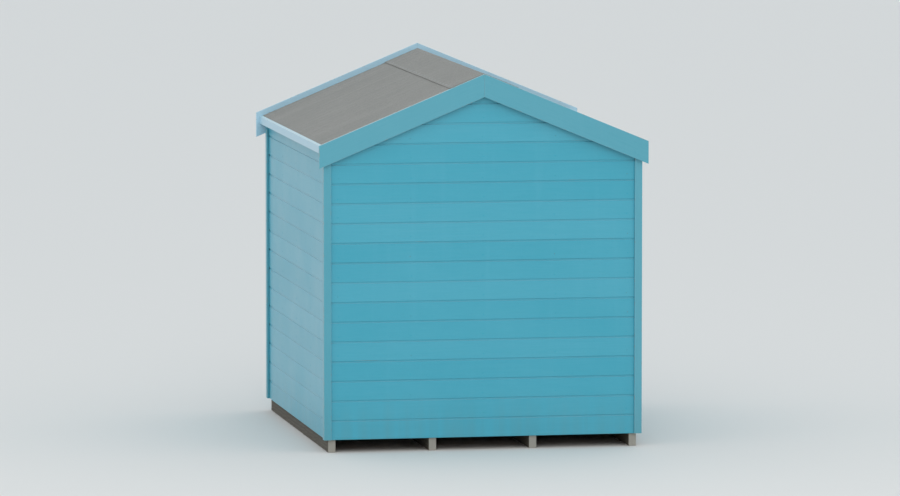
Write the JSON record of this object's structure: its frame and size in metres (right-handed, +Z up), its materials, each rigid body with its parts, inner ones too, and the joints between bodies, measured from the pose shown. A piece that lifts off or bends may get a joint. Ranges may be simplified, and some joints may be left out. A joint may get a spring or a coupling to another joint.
{
  "type": "beach hut",
  "caption": "Timber beach hut: boarded gabled walls on bearers, a low felted roof with barge boards, corner trims and a pair of boarded doors on strap hinges.",
  "frame": {"origin": "on the ground, under the middle of the hut's overall box", "axes": "+Z up; +Y from the doors to the back gable; +X to the right as seen from outside the doors"},
  "size_m": [2.252, 2.502, 2.5234],
  "materials": {
    "boarding_paint": "satin",
    "trim_paint": "satin",
    "roofing_felt": "matte",
    "sawn_timber": "matte",
    "bearer_timber": "matte",
    "galvanised_iron": "satin"
  },
  "bodies": {
    "root": {"bearer_left": "bearer_timber", "bearer_inner_left": "bearer_timber", "bearer_inner_right": "bearer_timber", "bearer_right": "bearer_timber", "floor_joists": "sawn_timber", "floor_boards": "sawn_timber", "side_sole_plates": "sawn_timber", "end_sole_plates": "sawn_timber", "side_studs": "sawn_timber", "end_studs": "sawn_timber", "wall_plates": "sawn_timber", "gable_ties": "sawn_timber", "gable_framing": "sawn_timber", "ridge_beam": "sawn_timber", "purlins": "sawn_timber", "back_wall": "boarding_paint", "left_wall": "boarding_paint", "right_wall": "boarding_paint", "front_wall_left": "boarding_paint", "front_wall_right": "boarding_paint", "front_gable": "boarding_paint", "front_apron": "boarding_paint", "roof_deck_left": "sawn_timber", "roof_deck_right": "sawn_timber", "felt_left": "roofing_felt", "felt_right": "roofing_felt", "felt_cap": "roofing_felt", "barge_front_left": "trim_paint", "barge_front_right": "trim_paint", "barge_back_left": "trim_paint", "barge_back_right": "trim_paint", "eaves_board_left": "trim_paint", "eaves_board_right": "trim_paint", "corner_trim_front_left": "trim_paint", "corner_trim_front_right": "trim_paint", "corner_trim_back_left": "trim_paint", "corner_trim_back_right": "trim_paint", "door_sill": "trim_paint", "door_posts": "trim_paint", "door_head": "trim_paint", "door_leaf_left": "trim_paint", "door_leaf_right": "trim_paint", "strap_hinges": "galvanised_iron", "door_hasp": "galvanised_iron"}
  },
  "joints": []
}
